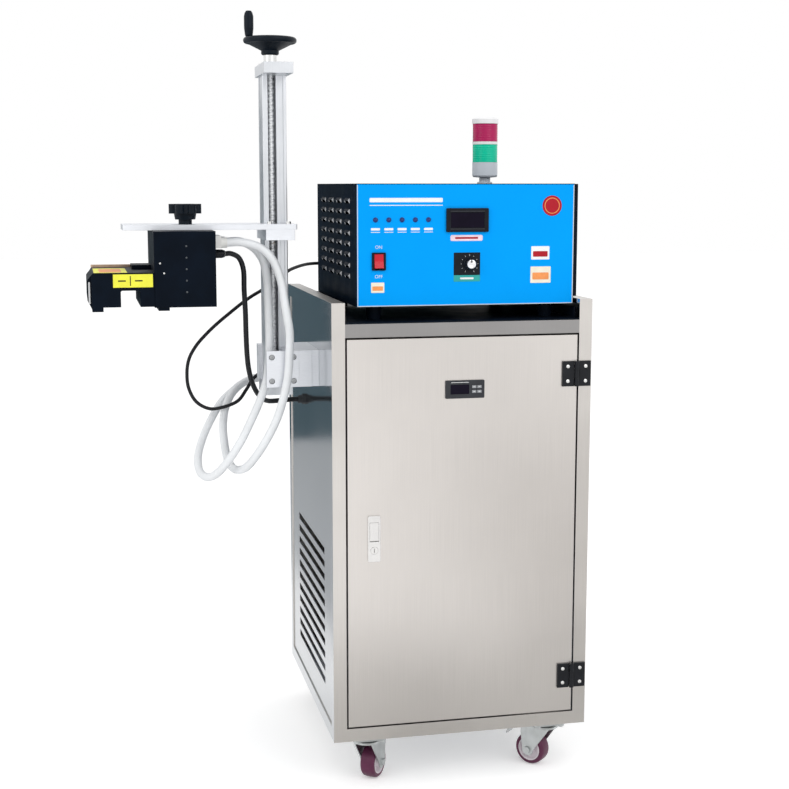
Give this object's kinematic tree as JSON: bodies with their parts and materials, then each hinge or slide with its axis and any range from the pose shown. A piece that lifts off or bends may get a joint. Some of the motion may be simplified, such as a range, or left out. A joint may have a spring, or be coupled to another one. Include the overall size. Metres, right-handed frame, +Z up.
{
  "type": "induction cap sealer",
  "caption": "Wheeled induction cap sealer: louvred steel cabinet with a door and a power box on top, and a screw-driven lift column with an arm and a tunnel-shaped sealing head",
  "frame": {"origin": "on the floor under the middle of the cabinet, where the castors stand", "axes": "+Z up, the door faces -Y, the lift column stands on the -X side"},
  "size_m": [0.931, 0.5775, 1.4693],
  "materials": {
    "stainless": "brushed",
    "black_coat": "glossy powder coat",
    "blue_panel": "satin",
    "aluminium": "machined",
    "steel": "turned",
    "zinc": "zinc plated",
    "lock_chrome": "polished",
    "brass": "turned",
    "black_plastic": "fine grain",
    "grey_plastic": "fine grain",
    "key_plastic": "satin",
    "white_plastic": "smooth",
    "lens": "translucent, ribbed",
    "rocker_red": "smooth",
    "tread": "moulded",
    "hose": "smooth",
    "cable": "smooth",
    "pump_paint": "satin",
    "tank": "moulded"
  },
  "bodies": {
    "cabinet": {"cabinet_frame": "stainless", "left_side_panel": "stainless", "right_side_panel": "stainless", "back_panel": "stainless", "floor_panel": "stainless", "top_tray": "black_coat", "water_tank": "tank", "water_pump": "pump_paint", "compressor": "black_coat", "condenser": "aluminium", "castor_plates": "zinc", "frame_hinges": "black_plastic", "power_case": "black_coat", "power_base": "black_coat", "front_panel": "blue_panel", "panel_fittings": "black_plastic", "tower_body": "white_plastic", "tower_lenses": "lens", "rear_glands": "black_plastic", "side_fittings": "black_plastic", "bracket_block": "aluminium", "clamp_plate": "aluminium", "column_profile": "aluminium", "column_bearings": "aluminium", "hose_a": "hose", "hose_b": "hose", "cable_thick": "cable", "cable_thin": "cable"},
    "screw": {"lead_screw": "steel", "handwheel": "black_plastic"},
    "grip": {"handwheel_grip": "black_plastic"},
    "carriage": {"carriage_block": "aluminium", "lead_nut": "brass", "arm_plate": "aluminium"},
    "head": {"head_housing": "black_plastic", "tunnel_head": "black_plastic", "head_fittings": "white_plastic"},
    "clamp_knob": {"star_knob": "black_plastic"},
    "door_leaf": {"door": "stainless", "door_hinges": "black_plastic", "controller": "grey_plastic", "lock_plate": "lock_chrome"},
    "set_key": {"key_set": "key_plastic"},
    "up_key": {"key_up": "key_plastic"},
    "down_key": {"key_down": "key_plastic"},
    "reset_key": {"key_reset": "key_plastic"},
    "paddle": {"lock_paddle": "lock_chrome"},
    "key_barrel": {"key_cylinder": "lock_chrome"},
    "switch_rocker": {"rocker": "rocker_red"},
    "dial_knob": {"power_knob": "white_plastic"},
    "fan": {"fan_rotor": "grey_plastic"},
    "swivel_fl": {"fork_fl": "zinc"},
    "roller_fl": {"wheel_fl": "tread"},
    "swivel_fr": {"fork_fr": "zinc"},
    "roller_fr": {"wheel_fr": "tread"},
    "swivel_rl": {"fork_rl": "zinc"},
    "roller_rl": {"wheel_rl": "tread"},
    "swivel_rr": {"fork_rr": "zinc"},
    "roller_rr": {"wheel_rr": "tread"},
    "brake": {"brake_lever": "zinc"}
  },
  "joints": [
    {"name": "lift", "type": "slide", "parent": "cabinet", "child": "carriage", "axis": [0, 0, 1], "range_m": [-0.18, 0.26], "deforming": ["hose_a", "hose_b", "cable_thick"]},
    {"name": "handwheel_turn", "type": "hinge", "parent": "cabinet", "child": "screw", "pos_m": [-0.325, -0.039, 1.295], "axis": [0, 0, 1], "range_deg": [-9362, 6482]},
    {"name": "grip_spin", "type": "hinge", "parent": "screw", "child": "grip", "pos_m": [-0.365, -0.039, 1.445], "axis": [0, 0, 1], "continuous": true},
    {"name": "head_slide", "type": "slide", "parent": "carriage", "child": "head", "axis": [1, 0, 0], "range_m": [-0.09, 0.035], "deforming": ["hose_a", "hose_b", "cable_thick"]},
    {"name": "clamp_knob_turn", "type": "hinge", "parent": "head", "child": "clamp_knob", "pos_m": [-0.496, -0.088, 1.095], "axis": [0, 0, 1], "range_deg": [-180, 180]},
    {"name": "door_swing", "type": "hinge", "parent": "cabinet", "child": "door_leaf", "pos_m": [0.22, -0.2748, 0.495], "axis": [0, 0, 1], "range_deg": [0, 110]},
    {"name": "paddle_pull", "type": "hinge", "parent": "door_leaf", "child": "paddle", "pos_m": [-0.172, -0.272, 0.4855], "axis": [1, 0, 0], "range_deg": [0, 40]},
    {"name": "key_turn", "type": "hinge", "parent": "door_leaf", "child": "key_barrel", "pos_m": [-0.172, -0.26, 0.4665], "axis": [0, 1, 0], "range_deg": [0, 90]},
    {"name": "set_press", "type": "slide", "parent": "door_leaf", "child": "set_key", "axis": [0, 1, 0], "range_m": [0, 0.0006], "stiffness_N_per_m": 2000},
    {"name": "up_press", "type": "slide", "parent": "door_leaf", "child": "up_key", "axis": [0, 1, 0], "range_m": [0, 0.0006], "stiffness_N_per_m": 2000},
    {"name": "down_press", "type": "slide", "parent": "door_leaf", "child": "down_key", "axis": [0, 1, 0], "range_m": [0, 0.0006], "stiffness_N_per_m": 2000},
    {"name": "reset_press", "type": "slide", "parent": "door_leaf", "child": "reset_key", "axis": [0, 1, 0], "range_m": [0, 0.0006], "stiffness_N_per_m": 2000},
    {"name": "rocker_tip", "type": "hinge", "parent": "cabinet", "child": "switch_rocker", "pos_m": [-0.156, -0.241, 1.003], "axis": [1, 0, 0], "range_deg": [0, 16]},
    {"name": "dial_turn", "type": "hinge", "parent": "cabinet", "child": "dial_knob", "pos_m": [0.017, -0.245, 0.997], "axis": [0, 1, 0], "range_deg": [-150, 150]},
    {"name": "fan_spin", "type": "hinge", "parent": "cabinet", "child": "fan", "pos_m": [-0.125, -0.005, 0.3], "axis": [1, 0, 0], "continuous": true},
    {"name": "swivel_fl", "type": "hinge", "parent": "cabinet", "child": "swivel_fl", "pos_m": [-0.18, -0.238, 0.086], "axis": [0, 0, 1], "continuous": true},
    {"name": "roll_fl", "type": "hinge", "parent": "swivel_fl", "child": "roller_fl", "pos_m": [-0.16354, -0.21535, 0.0315], "axis": [-0.809, 0.5878, 0], "continuous": true},
    {"name": "swivel_fr", "type": "hinge", "parent": "cabinet", "child": "swivel_fr", "pos_m": [0.18, -0.238, 0.086], "axis": [0, 0, 1], "continuous": true},
    {"name": "roll_fr", "type": "hinge", "parent": "swivel_fr", "child": "roller_fr", "pos_m": [0.16126, -0.21719, 0.0315], "axis": [-0.7431, -0.6691, 0], "continuous": true},
    {"name": "swivel_rl", "type": "hinge", "parent": "cabinet", "child": "swivel_rl", "pos_m": [-0.18, 0.238, 0.086], "axis": [0, 0, 1], "continuous": true},
    {"name": "roll_rl", "type": "hinge", "parent": "swivel_rl", "child": "roller_rl", "pos_m": [-0.17514, 0.26558, 0.0315], "axis": [-0.9848, 0.1736, 0], "continuous": true},
    {"name": "swivel_rr", "type": "hinge", "parent": "cabinet", "child": "swivel_rr", "pos_m": [0.18, 0.238, 0.086], "axis": [0, 0, 1], "continuous": true},
    {"name": "roll_rr", "type": "hinge", "parent": "swivel_rr", "child": "roller_rr", "pos_m": [0.17514, 0.26558, 0.0315], "axis": [-0.9848, -0.1736, 0], "continuous": true},
    {"name": "brake_press", "type": "hinge", "parent": "swivel_fr", "child": "brake", "pos_m": [0.15591, -0.21125, 0.074], "axis": [-0.7431, -0.6691, 0], "range_deg": [0, 18]}
  ],
  "couplings": [
    {"joint": "handwheel_turn", "follows": "lift", "rad_per_m": -628.32}
  ]
}
